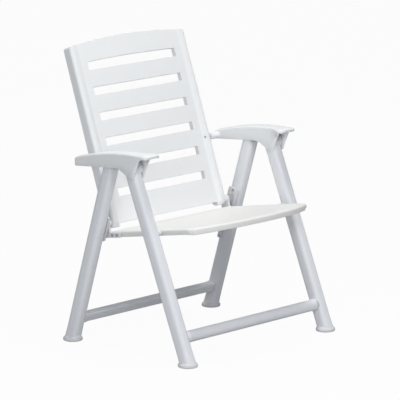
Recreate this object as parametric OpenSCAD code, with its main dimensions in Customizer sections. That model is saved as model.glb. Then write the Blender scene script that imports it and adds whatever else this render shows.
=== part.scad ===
// Folding, reclining garden armchair moulded in white resin.
// Origin on the ground, below the middle of the whole chair's box. +Z up,
// the sitter looks along -Y, +X is the sitter's left. Sizes in millimetres.
// Side plane points are written [y, z].

/* [Seat] */
// Width of the seat panel
seat_w = 524; // [480:1:526]
// Height of the seat's top face above the ground at y = 0
seat_z = 365.1; // [361:0.1:370]
// Slope of the seat, rear edge lower
seat_tilt = 9.8; // [6:0.1:12]
// Length of the seat ahead of y = 0, measured on the slope at the corners
seat_front = 248; // [228:1:263]
// Length of the seat behind y = 0, measured on the slope
seat_rear = 98; // [82:1:100]
// How far the front edge bows forward at its middle
seat_bow = 50; // [0:1:60]
// Radius of the two front corners
seat_corner_r = 26; // [15:1:45]
// Thickness of the seat's top plate
seat_plate = 5; // [4:0.5:8]
// Depth of the rim round the seat
seat_rim_h = 19; // [15:1:24]
// Depth of the rim along the front edge
seat_lip_h = 22; // [20:1:34]
// Thickness of the rim
seat_rim_t = 6; // [4:0.5:9]
// Depth of the ribs under the plate
seat_rib_h = 9; // [5:1:12]
// Thickness of the ribs
seat_rib_t = 4; // [2:0.5:6]
// Distance between the ribs that run front to back
seat_rib_pitch = 84; // [60:1:110]

/* [Backrest] */
// Room between the backrest and a bracket's plate, at each side
back_gap = 10; // [8:0.5:24]
// Length of the backrest above its lower pivot, at its corners
back_len = 549; // [530:1:620]
// How far the panel between the stiles reaches below the lower pivot
back_tail = 5; // [0:1:12]
// Lean of the backrest from upright
back_lean = 19.55; // [15:0.05:25]
// Rise of the arched top edge at its middle
back_crown = 15; // [4:1:30]
// Radius of the two top corners
back_corner_r = 8; // [6:1:30]
// Width of the backrest beside the slots
stile_w = 60; // [50:1:80]
// Width of the deep edge of the backrest at each side
edge_w = 34; // [32:1:44]
// Distance from the lower pivot forward to the front face of the stiles
stile_front = 18; // [17:0.5:20]
// Distance from the lower pivot back to the rear face, low on the back
stile_rear = 18; // [16:0.5:22]
// Distance from the lower pivot's line back to the rear face at the top
stile_rear_top = 12; // [8:0.5:16]
// Radius of the rounded lower ends of the stiles
stile_end_r = 16; // [14:0.5:17]
// Depth of the slats, front to back
slat_t = 14; // [11:0.5:15]
// Distance from the lower pivot forward to the slats' front, low on the back
slat_front = 8; // [6:0.5:12]
// The same distance at the top slot
slat_front_top = 14; // [12:0.5:15]
// Number of slots between the slats
slot_count = 6; // [4:1:6]
// Height of a slot
slot_h = 26; // [18:1:32]
// Distance from one slot to the next
slot_pitch = 79; // [72:1:80]
// Height of the lowest slot's lower edge above the lower pivot
slot_first = 74; // [60:1:80]
// Extra height of the top slot at its middle
slot_arch = 4; // [0:1:14]
// Thickness of the moulded skin
back_skin = 5; // [4:0.5:7]

/* [Armrests] */
// Room between a leg and the armrest's side walls
arm_room = 2; // [1:0.5:4]
// Height of the armrest's highest point above its pivot on the backrest
arm_rise = 52.5; // [46.5:0.5:64.5]
// How far the highest point lies ahead of the front leg's pivot
arm_peak_ahead = 25.5; // [10:0.5:45]
// How far the armrest's top falls at its rear end
arm_fall = 38; // [30:1:44]
// Length of the armrest behind its pivot on the backrest
arm_rear = 11.5; // [9.5:0.5:30]
// Length of the armrest ahead of the front leg's pivot
arm_tip = 69; // [62:0.5:90]
// Thickness of the flat front tip
arm_tip_t = 13; // [10:1:16]
// Side wall of the channel
arm_wall = 4; // [3:0.5:4.5]
// Top wall of the channel
arm_top_t = 5; // [4:0.5:6]
// How far the side walls reach below the backrest's pivot at the rear end
skirt_rear = 13.5; // [11:0.5:17.5]
// The same at the top of the arch between the legs, negative above the pivot
skirt_arch = -0.5; // [-1:0.5:5]
// How far behind the front leg's pivot the arch is at its highest
arch_behind = 49; // [45:0.5:60]
// Radius of the lower end of the flare that covers the front leg's pivot
flare_r = 13; // [11:0.5:14]
// How far the flare's end lies ahead of the pivot
flare_ahead = 7; // [4:0.5:10]
// How far the flare's end lies below the pivot
flare_below = 15.5; // [13:0.5:20]
// How far ahead of the pivot the side walls meet the flat tip
flare_reach = 47; // [44:1:52]
// How far the flat tip widens inward beyond the side wall
arm_tip_wing = 16; // [0:1:18]
// Radius of the two corners of the tip, seen from above
arm_tip_r = 11; // [8:1:16]

/* [Legs] */
// Room between the seat's side and a leg
leg_gap = 29; // [26:0.5:40]
// Width of a leg seen from the side
leg_d = 43; // [36:1:46]
// Width of a leg seen from the front
leg_w = 38; // [30:1:38]
// Corner radius of the legs
leg_r = 10; // [4:0.5:14]
// Wall of the hollow legs
leg_wall = 4; // [3:0.5:6]
// Distance of the front feet ahead of the origin
front_foot_y = 276.5; // [267:0.5:291]
// Distance of the rear feet behind the origin
rear_foot_y = 213.5; // [204:0.5:228]
// Lean of the front legs
front_lean = 22.25; // [21:0.05:23]
// Lean of the rear legs
rear_lean = 16.96; // [16:0.05:18]
// Radius of the solid heads at the tops of the legs
head_r = 19; // [15:0.5:21]
// How far a head stands back from the leg's sides
head_step = 0.5; // [0.3:0.1:2]
// How far a leg's tube runs above its top pivot
leg_top_over = 3; // [0:0.5:6]

/* [Crossbars and feet] */
// Diameter of the front crossbar
front_bar_d = 35; // [28:1:40]
// Height of the front crossbar
front_bar_z = 81; // [70:1:110]
// Side of the square rear crossbar
rear_bar_s = 27; // [22:1:34]
// Height of the rear crossbar
rear_bar_z = 72; // [60:1:110]
// Diameter of the crossbars' end spigots
spigot_d = 20; // [14:1:22]
// Diameter of a foot
foot_d = 60; // [57:1:70]
// Height of a foot
foot_h = 15; // [12:1:20]
// Thickness of a foot's sole
foot_sole = 5; // [3:0.5:8]

/* [Pivots] */
// Pivot of the backrest on the seat, behind y = 0
seat_back_y = 107.5; // [105.5:0.5:110.5]
// Height of that pivot above the seat's height
seat_back_rise = 5.9; // [3:0.1:9]
// Distance of the armrests' pivot on the backrest behind the seat's
arm_back_run = 55.5; // [52:0.5:58]
// Height of the armrests' pivot on the backrest above the seat's
arm_back_rise = 194.5; // [190:0.5:200]
// Height of the front legs' pivot above the seat's height
front_seat_rise = 8.9; // [8:0.1:10]
// How far that pivot lies behind the front leg's middle line
front_seat_off = 12; // [8:0.5:13]
// Height of the rear legs' pivot above the backrest's pivot in the armrest
rear_arm_rise = 5.5; // [3:0.5:8]
// How far the rear legs' pivot lies behind the rear leg's middle line
rear_arm_off = 6; // [2:0.5:8]
// How far the rack pin lies below the seat's height
rack_pin_drop = 25.1; // [20:0.1:30]
// Diameter of the leg pins
pin_d = 10; // [8:0.5:12]
// Diameter of the backrest pins
back_pin_d = 8; // [6:0.5:9]
// Wall left over the blind end of a leg pin
pin_cover = 1.4; // [1:0.1:2]
// Diameter of the pins' heads and of the collar on the rack pins
pin_head_d = 18; // [15:0.5:20]
// Thickness of the pins' heads
pin_head_t = 2.5; // [1.5:0.5:4]
// How deep the backrest pins reach into the stiles
back_pin_in = 26; // [18:1:32]
// Outer diameter of the spacers at the front seat pivot
spacer_d = 18; // [16:1:18]
// Outer diameter of the bosses round the front seat pivot inside the legs
leg_boss_d = 22; // [18:1:26]
// Outer diameter of the armrests' bosses at the backrest
arm_boss_d = 22; // [16:1:22]

/* [Hinge brackets] */
// Thickness of a hinge bracket
bracket_t = 8; // [6:0.5:10]
// Radius of a bracket's eye at the backrest pin
bracket_eye_r = 12; // [11:0.5:16]
// Radius of a bracket's boss beside the backrest
bracket_boss_r = 10; // [8:0.5:11]
// How far a bracket reaches forward along the seat's rim
bracket_len = 46; // [38:1:70]
// Diameter of the screws
screw_d = 5; // [4:0.5:6]
// Diameter of the screw heads
screw_head_d = 9; // [8:0.5:10]
// Length of the screws
screw_len = 22; // [16:1:30]

/* [Recline racks] */
// Thickness of a rack
rack_t = 7.5; // [5:0.5:10]
// Width of a rack
rack_w = 38; // [34:1:42]
// Number of recline notches
rack_notches = 5; // [3:1:6]
// Distance from one notch to the next
rack_pitch = 10; // [10:0.5:11]
// Depth of a notch
notch_depth = 2.5; // [1.5:0.5:3]
// Room ahead of the rack pin while the back reclines
rack_front_play = 4.2; // [4:0.1:5]
// Length of the rack above its last notch
rack_end = 26; // [24:1:30]
// Length of the rack below its first notch
rack_foot = 14; // [12:1:18]
// Length of the rail that guides the pin back to the rack, below it
rack_rail = 98; // [72:1:104]
// Width of the rail
rack_rail_w = 12; // [8:0.5:13]

/* [Fits] */
// Radial play of a running pin
run_play = 0.08; // [0.05:0.01:0.1]
// Radial play at the two pivots that close the linkage
open_play = 0.4; // [0.2:0.05:0.6]
// Radial play of a fixed pin, spigot or screw
fix_play = 0.05; // [0.02:0.01:0.1]
// Side gap between pieces that turn past each other
side_gap = 0.3; // [0.2:0.05:0.5]

/* [Hidden] */

$fn = 64;
white = [0.93, 0.94, 0.95];
shade = [0.86, 0.88, 0.91];
dark = [0.35, 0.36, 0.38];
metal = [0.70, 0.71, 0.73];
eps = 1;       // overshoot of a cutting tool
big = 2000;    // larger than the whole chair

// middle lines of the legs: place along y at a height
function front_leg_y(z) = -front_foot_y + z * tan(front_lean);
function rear_leg_y(z) = rear_foot_y - z * tan(rear_lean);

// pivots in the side plane
seat_back = [seat_back_y, seat_z + seat_back_rise];
arm_back = seat_back + [arm_back_run, arm_back_rise];
front_seat_z = seat_z + front_seat_rise;
front_seat = [front_leg_y(front_seat_z) + front_seat_off, front_seat_z];
front_arm = front_seat + arm_back - seat_back;   // keeps the armrest parallel to the seat
rear_arm_z = arm_back.y + rear_arm_rise;
rear_arm = [rear_leg_y(rear_arm_z) + rear_arm_off, rear_arm_z];
rack_pin_z = seat_z - rack_pin_drop;
rack_pin = [rear_leg_y(rack_pin_z), rack_pin_z];

// planes across the chair, as distances from the middle
seat_x = seat_w / 2;
back_x = seat_x - back_gap;
leg_in = seat_x + leg_gap;
leg_out = leg_in + leg_w;
arm_x = leg_in + leg_w / 2;
arm_in = leg_in - arm_room - arm_wall;
arm_out = leg_out + arm_room + arm_wall;
arm_w = arm_out - arm_in;
bracket_out = seat_x + bracket_t;

// a point of the side plane in the frames of the seat and of the backrest
function turn(p, a) = [p.x * cos(a) - p.y * sin(a), p.x * sin(a) + p.y * cos(a)];
function on_seat(p) = turn(p - [0, seat_z], seat_tilt);
function on_back(p) = turn(p - seat_back, back_lean);
function arc(c, r, a0, a1, n) =
    [for (i = [0 : n]) let (a = a0 + (a1 - a0) * i / n) c + r * [cos(a), sin(a)]];

// ---------- helpers ----------
module sided(s) { if (s > 0) children(); else mirror([1, 0, 0]) children(); }
// prism across the chair from x0 to x1 of a shape drawn in the side plane
module across(x0, x1) {
    translate([x0, 0, 0]) rotate([90, 0, 90]) linear_extrude(x1 - x0) children();
}
module rod(p, d, x0, x1) { across(x0, x1) translate(p) circle(d = d); }
module seat_frame() { translate([0, 0, seat_z]) rotate([-seat_tilt, 0, 0]) children(); }
module back_frame() {
    translate([0, seat_back.x, seat_back.y]) rotate([-back_lean, 0, 0]) children();
}
module front_leg_frame() {
    translate([arm_x, -front_foot_y, 0]) rotate([-front_lean, 0, 0]) children();
}
module rear_leg_frame() {
    translate([arm_x, rear_foot_y, 0]) rotate([rear_lean, 0, 0]) children();
}
module rounded(w, d, r) {
    square([w - 2 * r, d], center = true);
    square([w, d - 2 * r], center = true);
    for (x = [-1, 1], y = [-1, 1]) translate([x * (w / 2 - r), y * (d / 2 - r)]) circle(r);
}

// ---------- seat ----------
seat_turn = 64;    // turn of the front corners, the bow takes up the rest
function seat_outline(i) = let (h = seat_x - i, c = seat_corner_r, r = c - i, m = seat_x - c,
        e = m + r * cos(seat_turn), f = -seat_front + c * sin(seat_turn))
    concat([[h, seat_rear - i], [-h, seat_rear - i]],
        arc([-m, f], r, 180, 180 + seat_turn, 6),
        [for (k = [1 : 23]) let (t = k / 12 - 1)
            [e * t, f - r * sin(seat_turn) - seat_bow * (1 - pow(abs(t), 2.4)) + 0.1 * i * (1 - abs(t))]],
        arc([m, f], r, 360 - seat_turn, 360, 6));
module seat_slab(i, z0, z1) {
    translate([0, 0, z0]) linear_extrude(z1 - z0) polygon(seat_outline(i));
}
module seat_panel() {
    boss = on_seat(front_seat);
    boss_in = 24;
    color(white) difference() {
        union() {
            seat_frame() difference() {
                union() {
                    seat_slab(0, -seat_rim_h, 0);
                    intersection() {
                        seat_slab(0, -seat_lip_h, 0);
                        translate([-big / 2, -big, -big / 2])
                            cube([big, big - seat_front + seat_corner_r, big]);
                    }
                }
                seat_slab(seat_rim_t, -seat_lip_h - eps, -seat_plate);
            }
            seat_frame() intersection() {
                seat_slab(seat_rim_t / 2, -seat_plate - seat_rib_h, -seat_plate / 2);
                union() {
                    for (x = [-floor(seat_x / seat_rib_pitch) : floor(seat_x / seat_rib_pitch)])
                        translate([x * seat_rib_pitch - seat_rib_t / 2, -big / 2, -seat_lip_h])
                            cube([seat_rib_t, big, seat_lip_h]);
                    for (k = [1 : floor((seat_front + seat_rear) / seat_rib_pitch)])
                        translate([-big / 2, seat_rear - k * seat_rib_pitch, -seat_lip_h])
                            cube([big, seat_rib_t, seat_lip_h]);
                }
            }
            for (s = [-1, 1]) sided(s) {
                seat_frame() translate([seat_x - boss_in, boss.x - spacer_d / 2, -seat_rim_h])
                    cube([boss_in - seat_rim_t / 2, spacer_d, seat_rim_h - seat_plate / 2]);
                seat_frame() translate([seat_x - boss_in, seat_rear - bracket_len, -seat_rim_h])
                    cube([boss_in - seat_rim_t / 2, bracket_len - seat_rim_t / 2,
                          seat_rim_h - seat_plate / 2]);
            }
        }
        for (s = [-1, 1]) sided(s) {
            rod(front_seat, pin_d + 2 * fix_play, seat_x - boss_in - eps, seat_x + eps);
            for (p = bracket_screw_points()) seat_frame()
                rod(p, screw_d + 2 * fix_play, bracket_out - screw_len, seat_x + eps);
        }
    }
}
function bracket_screw_points() =
    [for (k = [0.2, 0.62]) [seat_rear - bracket_len * (1 - k), -seat_rim_h / 2 - seat_plate / 4]];
module hinge_bracket(s) {
    eye = on_seat(seat_back);
    low = on_seat(rack_pin);
    color(shade) sided(s) difference() {
        union() {
            seat_frame() across(seat_x, bracket_out) polygon(concat(
                [[seat_rear - bracket_len, -seat_rim_h], [seat_rear - bracket_len, -seat_rim_h / 4],
                 [eye.x - bracket_eye_r * 1.3, -seat_rim_h / 8], [eye.x - bracket_eye_r, seat_rim_h / 8]],
                arc(eye, bracket_eye_r, 180, 16, 8), arc(low, bracket_eye_r, 10, -80, 6)));
            rod(seat_back, 2 * bracket_boss_r, back_x + side_gap, seat_x + bracket_t / 2);
        }
        rod(seat_back, back_pin_d + 2 * fix_play, back_x - eps, bracket_out + eps);
        rod(rack_pin, pin_d + 2 * fix_play, seat_x - eps, bracket_out + eps);
        for (p = bracket_screw_points()) seat_frame()
            rod(p, screw_d + 2 * fix_play, seat_x - eps, bracket_out + eps);
    }
}
module screw(p, x_face) {
    rod(p, screw_d, x_face - screw_len + side_gap, x_face + eps);
    rod(p, screw_head_d, x_face, x_face + pin_head_t);
}
module bracket_screws(s) {
    color(metal) sided(s) for (p = bracket_screw_points()) seat_frame() screw(p, bracket_out);
}
module front_spacer(s) {
    color(shade) sided(s) difference() {
        rod(front_seat, spacer_d, seat_x, leg_in - side_gap);
        rod(front_seat, pin_d + 2 * fix_play, seat_x - eps, leg_in + eps);
    }
}
module front_seat_pin(s) {
    color(metal) sided(s) rod(front_seat, pin_d, seat_x - 22, leg_out - 2 * pin_cover - side_gap);
}
// shouldered stud that runs in the rack on the rear leg
module rack_pin_piece(s) {
    color(dark) sided(s) {
        rod(rack_pin, pin_d, seat_x, leg_in - side_gap);
        rod(rack_pin, pin_head_d, bracket_out, leg_in - rack_t - pin_head_t / 2 - 2 * side_gap);
    }
}
module seat_back_pin(s) {
    color(metal) sided(s) {
        rod(seat_back, back_pin_d, back_x - back_pin_in, bracket_out + eps);
        rod(seat_back, pin_head_d, bracket_out, bracket_out + pin_head_t);
    }
}

// ---------- backrest, drawn with its lower pivot at the origin ----------
rear_slope = (stile_rear - stile_rear_top) / (back_len - slot_first);
function rear_y(z) = stile_rear - max(0, z - slot_first) * rear_slope;
back_top = back_len + back_crown;
// front face of the slats, which comes forward towards the top slot
slot_top = slot_first + (slot_count - 1) * slot_pitch;
function slat_y(z) = -slat_front
    - (slat_front_top - slat_front) * min(1, max(0, z - slot_first) / (slot_top - slot_first));
module back_outline() {
    c = back_corner_r;
    m = back_x - c;
    translate([0, big / 2, 0]) rotate([90, 0, 0]) linear_extrude(big) polygon(concat(
        [[back_x, -big / 2]], arc([m, back_len - c], c, 0, 90, 8),
        [for (k = [1 : 15]) let (x = m * (1 - k / 8)) [x, back_len + back_crown * (1 - pow(x / m, 2))]],
        arc([-m, back_len - c], c, 90, 180, 8), [[-back_x, -big / 2]]));
}
module stile_profile() {
    polygon([[-stile_front, back_top + eps], [-stile_front, 2 * stile_end_r],
        [-stile_end_r, 0], [stile_end_r, 0], [stile_rear, slot_first],
        [rear_y(back_top + eps), back_top + eps]]);
    circle(stile_end_r);
}
module slot(k) {
    z = slot_first + k * slot_pitch;
    w = back_x - stile_w;
    rise = (k == slot_count - 1) ? slot_arch : 0;
    translate([0, big / 2, 0]) rotate([90, 0, 0]) linear_extrude(big) polygon(concat(
        [[-w, z], [w, z]],
        [for (i = [0 : 12]) let (x = w * (1 - i / 6)) [x, z + slot_h + rise * (1 - pow(x / w, 2))]]));
}
// hollow behind the skin, between ribs
module pocket(z0, z1) {
    for (s = [-1, 1]) sided(s) across(back_skin / 2, back_x - stile_w - back_skin)
        polygon([[big, z0], [big, z1], [slat_y(z1) + back_skin, z1], [slat_y(z0) + back_skin, z0]]);
}
module backrest() {
    edge = back_x - edge_w;
    arm_pin = on_back(arm_back);
    color(white) back_frame() difference() {
        intersection() {
            union() {
                for (s = [-1, 1]) sided(s) across(edge, back_x) stile_profile();
                across(-edge - eps, edge + eps) polygon(concat(
                    [for (z = [-back_tail, slot_first, slot_top, back_top + eps]) [slat_y(z), z]],
                    [for (z = [back_top + eps, slot_top, slot_first, -back_tail]) [slat_y(z) + slat_t, z]]));
            }
            back_outline();
        }
        for (k = [0 : slot_count - 1]) slot(k);
        // hollows in the back of the slats
        pocket(-back_tail + back_skin, slot_first - back_skin);
        for (k = [0 : slot_count - 2])
            pocket(slot_first + k * slot_pitch + slot_h + back_skin,
                   slot_first + (k + 1) * slot_pitch - back_skin);
        pocket(slot_top + slot_h + slot_arch + back_skin, back_len - back_skin);
        for (s = [-1, 1]) sided(s) {
            // hollows in the back of the stiles, with a solid block at each pivot
            block = arm_boss_d / 2 + 2;
            for (band = [[stile_end_r + 4, arm_pin.y - block],
                         [arm_pin.y + block, back_len - back_corner_r]],
                 half = [0, 1])
                let (m = (band[0] + band[1]) / 2, z0 = half == 0 ? band[0] : m + back_skin / 2,
                     z1 = half == 0 ? m - back_skin / 2 : band[1])
                    translate([edge + back_skin, back_skin - stile_front, z0])
                        cube([edge_w - 2 * back_skin, big, z1 - z0]);
            rod([0, 0], back_pin_d + 2 * run_play, back_x - back_pin_in - side_gap, back_x + eps);
            rod(arm_pin, back_pin_d + 2 * fix_play, back_x - back_pin_in, back_x + eps);
        }
    }
}
// stub that carries the armrest's boss
module arm_back_pin(s) {
    color(metal) sided(s) {
        rod(arm_back, back_pin_d, back_x - back_pin_in + side_gap, arm_in + arm_wall);
    }
}

// ---------- armrests ----------
arm_z = arm_back.y + arm_rise;
arm_peak_y = front_arm.x - arm_peak_ahead;
arm_rear_y = arm_back.x + arm_rear;
arm_tip_y = front_arm.x - arm_tip;
skirt_rear_z = arm_back.y - skirt_rear;
skirt_arch_z = arm_back.y - skirt_arch;
skirt_arch_y = front_arm.x + arch_behind;
function arm_top(y) = arm_z - arm_fall * pow(max(0, y - arm_peak_y) / (arm_rear_y - arm_peak_y), 2);
function arm_top_line(y0, y1, drop) =
    [for (k = [0 : 12]) let (y = y0 + (y1 - y0) * k / 12) [y, arm_top(y) - drop]];
flare_c = front_arm - [flare_ahead, flare_below];
tip_under = arm_z - arm_tip_t;
hollow_front = front_arm.x - flare_reach - 5;
module arm_side() {
    polygon(concat(
        [[arm_rear_y, skirt_rear_z + 2], [arm_rear_y, arm_top(arm_rear_y) - 4]],
        arm_top_line(arm_rear_y - 4, arm_peak_y, 0),
        [[arm_tip_y + arm_tip_t / 3, arm_z], [arm_tip_y, arm_z - arm_tip_t / 3],
         [arm_tip_y, tip_under + arm_tip_t / 3], [arm_tip_y + arm_tip_t / 3, tip_under],
         [front_arm.x - flare_reach, tip_under], [front_arm.x - flare_reach * 0.83, tip_under - 8],
         [front_arm.x - flare_reach * 0.64, front_arm.y + 8]],
        arc(flare_c, flare_r, 166, 318, 12),
        [[skirt_arch_y - 14, skirt_arch_z - 5], [skirt_arch_y - 4, skirt_arch_z - 1],
         [skirt_arch_y, skirt_arch_z], [skirt_arch_y + 24, skirt_arch_z],
         [arm_rear_y - 2, skirt_rear_z]]));
}
module arm_plan() {
    r = arm_tip_r;
    q = arm_wall + 1;
    translate([arm_x, 0, 0]) linear_extrude(big) polygon(concat(
        arc([arm_w / 2 - q, arm_rear_y - q], q, 0, 90, 4),
        arc([q - arm_w / 2, arm_rear_y - q], q, 90, 180, 4),
        arc([q - arm_w / 2, arm_tip_y + r], q, 180, 270, 4),
        arc([arm_w / 2 - r, arm_tip_y + r], r, 270, 360, 8)));
}
// the tip's plate, which widens inward in a smooth curve
module arm_tip_plate() {
    r = arm_tip_r;
    wing = arm_in - arm_tip_wing;
    y0 = arm_tip_y + r;
    y1 = front_arm.x;
    translate([0, 0, tip_under]) linear_extrude(arm_tip_t - 1) polygon(concat(
        arc([wing + r, y0], r, 180, 270, 8), arc([arm_out - r, y0], r, 270, 360, 8),
        [[arm_out - r, y1], [arm_in + arm_wall / 2, y1]],
        [for (k = [0 : 8])
            [arm_in - arm_tip_wing * (1 - cos(k * 22.5)) / 2, y1 - (y1 - y0) * (k + 1) / 10]]));
}
module arm_hollow() {
    polygon(concat(arm_top_line(arm_rear_y - arm_wall, arm_peak_y, arm_top_t),
        [[hollow_front, tip_under - 0.5], [hollow_front, front_seat.y],
         [arm_rear_y - arm_wall, front_seat.y]]));
}
module armrest(s) {
    color(white) sided(s) difference() {
        union() {
            difference() {
                intersection() {
                    across(arm_in, arm_out) arm_side();
                    arm_plan();
                }
                across(arm_in + arm_wall, arm_out - arm_wall) arm_hollow();
            }
            arm_tip_plate();
            rod(arm_back, arm_boss_d, back_x + side_gap * 4, arm_in + arm_wall);
        }
        rod(arm_back, back_pin_d + 2 * run_play, back_x - eps, arm_in + arm_wall + eps);
        for (p = [front_arm, rear_arm])
            rod(p, pin_d + 2 * fix_play, arm_in - eps, arm_out - pin_cover);
    }
}
module arm_pin(s, p) {
    color(metal) sided(s) rod(p, pin_d, arm_in + side_gap, arm_out - pin_cover - side_gap);
}
module front_arm_pin(s) { arm_pin(s, front_arm); }
module rear_arm_pin(s) { arm_pin(s, rear_arm); }

// ---------- legs ----------
// A tube of the leg's section, from above the ground to a length along it
module leg_tube(w, d, r, len) { translate([0, 0, -leg_d]) linear_extrude(len + leg_d) rounded(w, d, r); }
// wider = growth of the outside, for the socket in the foot
module front_leg_solid(wider) {
    len = (front_arm.y + leg_top_over) / cos(front_lean) - leg_d / 2 * tan(front_lean);
    front_leg_frame() leg_tube(leg_w + wider, leg_d + wider, leg_r, len);
}
module rear_leg_solid(wider) {
    len = (rear_arm.y + leg_top_over) / cos(rear_lean) - leg_d / 2 * tan(rear_lean);
    rear_leg_frame() leg_tube(leg_w + wider, leg_d + wider, leg_r, len);
}
module leg_core(pivot, lean) {
    len = (pivot.y - head_r) / cos(lean) - leg_d / 2 * tan(lean);
    leg_tube(leg_w - 2 * leg_wall, leg_d - 2 * leg_wall, max(1, leg_r - leg_wall), len);
}
module above_sole() { translate([-big / 2, -big / 2, foot_sole]) cube([big, big, big]); }
front_bar = [front_leg_y(front_bar_z), front_bar_z];
rear_bar = [rear_leg_y(rear_bar_z), rear_bar_z];
// hollow tube with its foot end cut level, closed by a solid head at the top pivot
module leg_shell(pivot) {
    intersection() {
        difference() {
            children(0);
            children(1);
        }
        above_sole();
    }
    rod(pivot, 2 * head_r, leg_in + head_step, leg_out - head_step);
}
module front_leg(s) {
    color(shade) sided(s) difference() {
        union() {
            leg_shell(front_arm) {
                front_leg_solid(0);
                front_leg_frame() leg_core(front_arm, front_lean);
            }
            rod(front_seat, leg_boss_d, leg_in + leg_wall / 2, leg_out - leg_wall / 2);
        }
        rod(front_arm, pin_d + 2 * open_play, leg_in - eps, leg_out + eps);
        rod(front_seat, pin_d + 2 * run_play, leg_in - eps, leg_out - 2 * pin_cover);
        rod(front_bar, spigot_d + 2 * fix_play, leg_in - eps, leg_out - leg_wall);
    }
}
module rear_leg(s) {
    color(shade) sided(s) difference() {
        leg_shell(rear_arm) {
            rear_leg_solid(0);
            rear_leg_frame() leg_core(rear_arm, rear_lean);
        }
        rod(rear_arm, pin_d + 2 * run_play, leg_in - eps, leg_out + eps);
        rod(rear_bar, spigot_d + 2 * fix_play, leg_in - eps, leg_out - leg_wall);
        for (p = rack_screw_points()) rear_rack_frame()
            rod(p, screw_d + 2 * fix_play, leg_in - eps, leg_in + leg_wall + eps);
    }
}
module foot(s, y, lean) {
    y_mid = y + foot_h / 2 * tan(lean);
    color(shade) sided(s) difference() {
        translate([arm_x, y_mid, 0]) union() {
            cylinder(d = foot_d, h = foot_h * 0.6);
            cylinder(d = foot_d - 3, h = foot_h);
        }
        intersection() {
            children();
            above_sole();
        }
    }
}
module front_foot(s) { foot(s, -front_foot_y, front_lean) front_leg_solid(4 * fix_play); }
module rear_foot(s) { foot(s, rear_foot_y, -rear_lean) rear_leg_solid(4 * fix_play); }
module front_crossbar() {
    color(shade) {
        rod(front_bar, front_bar_d, -leg_in, leg_in);
        rod(front_bar, spigot_d, -leg_out + leg_wall + side_gap, leg_out - leg_wall - side_gap);
    }
}
module rear_crossbar() {
    color(shade) {
        across(-leg_in, leg_in) translate(rear_bar) rotate(rear_lean)
            rounded(rear_bar_s, rear_bar_s, leg_r / 3);
        rod(rear_bar, spigot_d, -leg_out + leg_wall + side_gap, leg_out - leg_wall - side_gap);
    }
}

// ---------- recline racks, drawn with the rack pin at the origin ----------
// first coordinate to the rear across the leg, second up along the leg
module rear_rack_frame() {
    translate([0, rack_pin.x, rack_pin.y]) rotate([rear_lean, 0, 0]) children();
}
rack_top = (rack_notches - 1) * rack_pitch + rack_end;
rack_low = -rack_foot;
slot_r = pin_d / 2 + side_gap;
rack_slot_top = (rack_notches - 1) * rack_pitch + slot_r + 1.5;
rail_mid = (rack_w - rack_rail_w) / 2;
function rack_screw_points() =
    [[0, rack_top - 7], [rail_mid, rack_low - rack_rail_w],
     [rail_mid, rack_low - rack_rail + rack_rail_w / 2 + 1]];
module rack(s) {
    color(shade) sided(s) rear_rack_frame() difference() {
        across(leg_in - rack_t, leg_in) {
            translate([0, (rack_top + rack_low) / 2]) rounded(rack_w, rack_top - rack_low, leg_r / 2);
            translate([rail_mid, rack_low - rack_rail / 2 + leg_r])
                rounded(rack_rail_w, rack_rail + 2 * leg_r, leg_r / 3);
        }
        across(leg_in - rack_t - eps, leg_in + eps) {
            polygon([[-slot_r - rack_front_play, rack_low - eps], [slot_r, rack_low - eps],
                [slot_r, rack_slot_top], [-slot_r - rack_front_play, rack_slot_top]]);
            for (k = [0 : rack_notches - 1])
                translate([notch_depth, k * rack_pitch]) circle(pin_d / 2 + side_gap / 3);
        }
        for (p = rack_screw_points()) rod(p, screw_d + 2 * fix_play, leg_in - rack_t - eps, leg_in + eps);
    }
}
module rack_screws(s) {
    color(metal) sided(s) rear_rack_frame() for (p = rack_screw_points()) {
        rod(p, screw_d, leg_in - rack_t, leg_in + leg_wall);
        rod(p, screw_head_d, leg_in - rack_t - pin_head_t / 2, leg_in - rack_t);
    }
}

seat_panel();
hinge_bracket(1);  // hinge_bracket_left
hinge_bracket(-1);  // hinge_bracket_right
front_spacer(1);  // front_spacer_left
front_spacer(-1);  // front_spacer_right
front_seat_pin(1);  // front_seat_pin_left
front_seat_pin(-1);  // front_seat_pin_right
rack_pin_piece(1);  // rack_pin_left
rack_pin_piece(-1);  // rack_pin_right
seat_back_pin(1);  // seat_back_pin_left
seat_back_pin(-1);  // seat_back_pin_right
bracket_screws(1);  // bracket_screws_left
bracket_screws(-1);  // bracket_screws_right
backrest();
arm_back_pin(1);  // arm_back_pin_left
arm_back_pin(-1);  // arm_back_pin_right
armrest(1);  // armrest_left
front_arm_pin(1);  // front_arm_pin_left
rear_arm_pin(1);  // rear_arm_pin_left
armrest(-1);  // armrest_right
front_arm_pin(-1);  // front_arm_pin_right
rear_arm_pin(-1);  // rear_arm_pin_right
front_leg(1);  // front_leg_left
front_leg(-1);  // front_leg_right
front_crossbar();
front_foot(1);  // front_foot_left
front_foot(-1);  // front_foot_right
rear_leg(1);  // rear_leg_left
rear_leg(-1);  // rear_leg_right
rear_crossbar();
rear_foot(1);  // rear_foot_left
rear_foot(-1);  // rear_foot_right
rack(1);  // rack_left
rack(-1);  // rack_right
rack_screws(1);  // rack_screws_left
rack_screws(-1);  // rack_screws_right
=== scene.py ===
import math

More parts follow.
